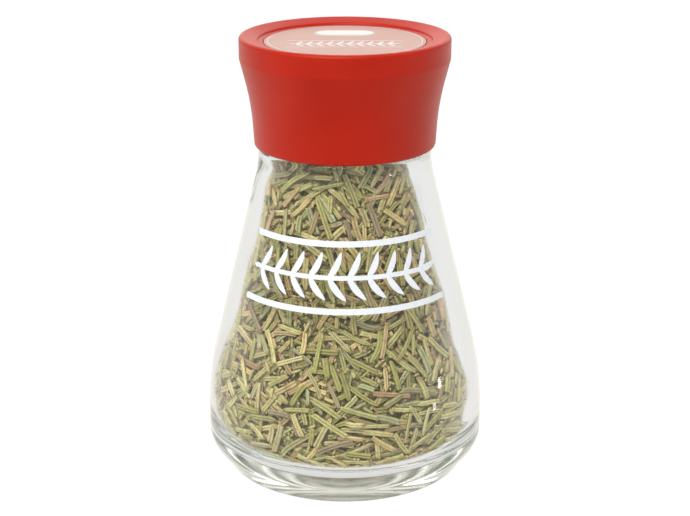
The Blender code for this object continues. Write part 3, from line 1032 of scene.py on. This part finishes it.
def painted_sheen_label_material():
    """Coated label in a soft coral: a red lightened by a painted pale sheen, varying at random, with a
    thin varnish.
    """
    n = Nodes("coral_label_painted_sheen")
    paper = n.noise(2400.0, 4.0, 0.65)
    wash = n.noise(60.0, 2.0)
    # Painted sheen: the red is lightened to coral, as the pale reflection seen at a grazing view.
    tone = n.ramp(wash, [(0.3, (0.45, 0.238, 0.20)), (0.7, (0.485, 0.27, 0.228))])
    fine = n.ramp(paper, [(0.3, (0.975, 0.975, 0.975)), (0.7, (1.015, 1.015, 1.015))])
    n.link(n.mixed(tone, fine, 1.0, "MULTIPLY"), n.shader.inputs["Base Color"])
    n.link(n.ranged(paper, 0.30, 0.42), n.shader.inputs["Roughness"])
    n.shader.inputs["Specular IOR Level"].default_value = 0.2
    n.link(n.bump(paper, 0.00001, 0.3), n.shader.inputs["Normal"])
    return n.material


def build_label_print():
    """White ring, two thin lines, a small twig and a plain rounded bar on the label."""
    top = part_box("lid_label")[1][2] / MM

    def place(x, y, lift):
        return x, y, top + lift

    strips = []
    circle = []
    for k in range(97):
        a = k / 96 * math.tau
        c, s = math.cos(a), math.sin(a)
        circle.append(((RING_RADIUS * c, RING_RADIUS * s), (RING_INNER * c, RING_INNER * s)))
    strips.append(ribbon(circle, place))
    for y in (-7.6, -0.4):
        strips.append(ribbon(bar_rows(-12.6, y, 12.6, y, 0.35, 20, False), place))
    white = new_object("label_print", *joined(strips))
    twig = sprig_strips(24.0, 5.6, 0.62, lambda x, y, lift: place(x, y + TWIG_BED, lift), 10)
    ornament = new_object("label_twig", *joined(twig))
    badge = ribbon(bar_rows(-6.3, 9.2, 6.3, 9.2, 5.0, 48), place)
    rim = ribbon(bar_rows(-6.9, 8.5, 6.7, 8.5, 6.6, 48), lambda x, y, lift: place(x, y, lift - 0.008))
    bar = new_object("label_bar", *badge)
    edge = new_object("label_bar_edge", *rim)
    ink = ink_material("label_ink", LABEL_INK, 0.35)
    for piece in (white, ornament, bar):
        piece.data.materials.append(ink)
    edge.data.materials.append(ink_material("label_grey_ink", LABEL_GREY, 0.35))
    for piece in (white, ornament, bar, edge):
        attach(piece, "cap")


# ---- glass and loose leaves

def build_glass():
    """The jar's glass."""
    glass = revolved("blown_glass", glass_outline(), GLASS_STEPS, blown)
    glass.data.materials.append(glass_material())
    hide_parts("glass_jar")
    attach(glass, "jar")


def loose_leaf_material():
    """Finish of the loose leaves that the construction holds."""
    n = Nodes("loose_leaf_skin")
    mottle = n.noise(1400.0, 4.0, 0.6)
    tone = n.ramp(mottle, [(0.3, tuple(srgb(140, 144, 90))), (0.55, tuple(srgb(172, 172, 116))),
                           (0.75, tuple(srgb(200, 186, 136)))])
    n.link(tone, n.shader.inputs["Base Color"])
    n.link(n.ranged(mottle, 0.55, 0.8), n.shader.inputs["Roughness"])
    n.link(n.bump(n.noise(5200.0, 2.0), 0.00006, 0.5), n.shader.inputs["Normal"])
    return n.material


# ---- stage, light and camera

PIXELS_WIDE = 690
SENSOR_WIDTH = 36.0
FOCAL_PIXELS = 1595.0
VIEW_DISTANCE = 366.9 * MM
VIEW_DROP = math.radians(18.71)
LOOK_HEIGHT = 48.4 * MM
FLOOR_DROP = 0.06
FLOOR_REACH = 4000

# How bright the floor looks to the camera, through glass, to diffuse rays and in reflections.
PAPER_GLOW = 1.08
THROUGH_GLASS = 0.82
FILL_GLOW = 0.70
FRONT_GLOW = 0.35
SIDE_GLOW = 1.25
FRONT_TO_SIDE = (-0.95, -0.35)
GLOW_WARMTH = (1.0, 0.95, 0.86)
GLOW_SHARE = 0.9

# Each lamp: name, place, the point it shines at, size, power and colour.
WHITE = (1.0, 1.0, 1.0)
WARM_WHITE = (1.0, 0.91, 0.78)
LAMPS = (
    ("key_softbox", (-0.25, -0.64, 0.74), (0.0, 0.0, 0.05), (0.7, 0.5), 7.0, WHITE),
    ("top_softbox", (0.2, 0.1, 0.95), (0.0, 0.0, 0.05), (0.8, 0.8), 0.8, WHITE),
    ("back_softbox", (0.0, 0.9, 0.42), (0.0, 0.0, 0.06), (1.3, 0.5), 2.5, WARM_WHITE),
    ("side_strip", (0.102, -0.028, 0.0188), (0.0, 0.0, 0.026), (0.006, 0.007), 0.0018, WHITE),
)


def build_stage():
    """A plain pale floor that glows as white paper; the painted glow also lights the jar from below and
    is dimmer in reflections in front.
    """
    z = -FLOOR_DROP
    far = FLOOR_REACH
    corners = [(-far, -far, z), (far, -far, z), (far, far, z), (-far, far, z)]
    floor = new_object("studio_floor", corners, [(0, 1, 2, 3)])
    n = Nodes("studio_floor_paint_and_glow")
    paper = n.ramp(n.noise(9.0, 2.0), [(0.3, grey(0.58)), (0.7, grey(0.60))])
    n.link(paper, n.shader.inputs["Base Color"])
    n.shader.inputs["Roughness"].default_value = 0.9
    n.shader.inputs["Specular IOR Level"].default_value = 0.0
    path = n.add("ShaderNodeLightPath")
    heading = n.add("ShaderNodeVectorMath", operation="NORMALIZE")
    n.link(n.place, heading.inputs[0])
    split = n.add("ShaderNodeSeparateXYZ")
    n.link(heading.outputs[0], split.inputs[0])
    mirrored = n.ranged(split.outputs["Y"], FRONT_GLOW, SIDE_GLOW, *FRONT_TO_SIDE)
    mirrored = n.mixed(mirrored, GLOW_WARMTH, 1.0, "MULTIPLY")
    # Painted glow: the floor glows though it is no lamp, with its own brightness for each kind of ray.
    glow = n.add("ShaderNodeEmission")
    shown = n.mixed(grey(FILL_GLOW), mirrored, path.outputs["Is Glossy Ray"])
    shown = n.mixed(shown, grey(THROUGH_GLASS), path.outputs["Is Transmission Ray"])
    shown = n.mixed(shown, grey(PAPER_GLOW), path.outputs["Is Camera Ray"])
    n.link(shown, glow.inputs["Color"])
    blend = n.add("ShaderNodeMixShader")
    blend.inputs[0].default_value = GLOW_SHARE
    n.link(n.shader.outputs[0], blend.inputs[1])
    n.link(glow.outputs[0], blend.inputs[2])
    n.link(blend.outputs[0], n.output.inputs["Surface"])
    floor.data.materials.append(n.material)


def add_area(name, place, aim, size, power, colour):
    """Hang a rectangular lamp that the camera doesn't see."""
    light = bpy.data.lights.new(name, "AREA")
    light.shape = "RECTANGLE"
    light.size, light.size_y = size
    light.energy = power
    light.color = colour
    lamp = bpy.data.objects.new(name, light)
    lamp.location = place
    direction = np.array(aim) - np.array(place)
    lamp.rotation_euler = Vector(direction).to_track_quat("-Z", "Y").to_euler()
    lamp.visible_camera = False
    bpy.context.scene.collection.objects.link(lamp)


def build_light():
    """Soft sky, brighter above and behind, and the lamps."""
    world = bpy.data.worlds.new("light_tent")
    bpy.context.scene.world = world
    world.use_nodes = True
    tree = world.node_tree
    background = tree.nodes["Background"]
    coords = tree.nodes.new("ShaderNodeTexCoord")
    split = tree.nodes.new("ShaderNodeSeparateXYZ")
    tree.links.new(coords.outputs["Generated"], split.inputs[0])

    def strength(axis, from_low, from_high, low, high):
        node = tree.nodes.new("ShaderNodeMapRange")
        node.inputs["From Min"].default_value = from_low
        node.inputs["From Max"].default_value = from_high
        node.inputs["To Min"].default_value = low
        node.inputs["To Max"].default_value = high
        tree.links.new(split.outputs[axis], node.inputs["Value"])
        return node.outputs[0]

    def combined(operation, a, b):
        node = tree.nodes.new("ShaderNodeMath")
        node.operation = operation
        tree.links.new(a, node.inputs[0])
        tree.links.new(b, node.inputs[1])
        return node.outputs[0]

    by_height = strength("Z", 0.0, 0.8, 0.62, 0.78)
    by_depth = strength("Y", -1.0, 0.3, 0.6, 1.0)
    sky = combined("MULTIPLY", by_height, by_depth)
    path = tree.nodes.new("ShaderNodeLightPath")
    seen = combined("MAXIMUM", sky, path.outputs["Is Camera Ray"])
    tree.links.new(seen, background.inputs["Strength"])
    background.inputs["Color"].default_value = (*WHITE, 1.0)
    for lamp in LAMPS:
        add_area(*lamp)


def build_camera():
    """Camera in front of the jar, looking slightly down."""
    data = bpy.data.cameras.new("camera")
    data.sensor_width = SENSOR_WIDTH
    data.lens = FOCAL_PIXELS * SENSOR_WIDTH / PIXELS_WIDE
    data.clip_start = 0.01
    camera = bpy.data.objects.new("camera", data)
    back = VIEW_DISTANCE * math.cos(VIEW_DROP)
    rise = VIEW_DISTANCE * math.sin(VIEW_DROP)
    camera.location = (0.0, -back, LOOK_HEIGHT + rise)
    camera.rotation_euler = (0.5 * math.pi - VIEW_DROP, 0.0, 0.0)
    bpy.context.scene.collection.objects.link(camera)
    bpy.context.scene.camera = camera


def set_looks():
    """Plain display colours, and enough bounces for light to find its way through the glass."""
    scene = bpy.context.scene
    scene.view_settings.view_transform = "Standard"
    scene.cycles.max_bounces = 32
    scene.cycles.transmission_bounces = 24
    scene.cycles.glossy_bounces = 24
    scene.cycles.diffuse_bounces = 4
    scene.cycles.transparent_max_bounces = 16


build_glass()
build_core()
build_leaves()
build_print()
build_cap()
build_label_print()
loose_skin = loose_leaf_material()
for node_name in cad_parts:
    if node_name.startswith("leaf_"):
        finish_node(node_name, loose_skin)
build_stage()
build_light()
build_camera()
set_looks()
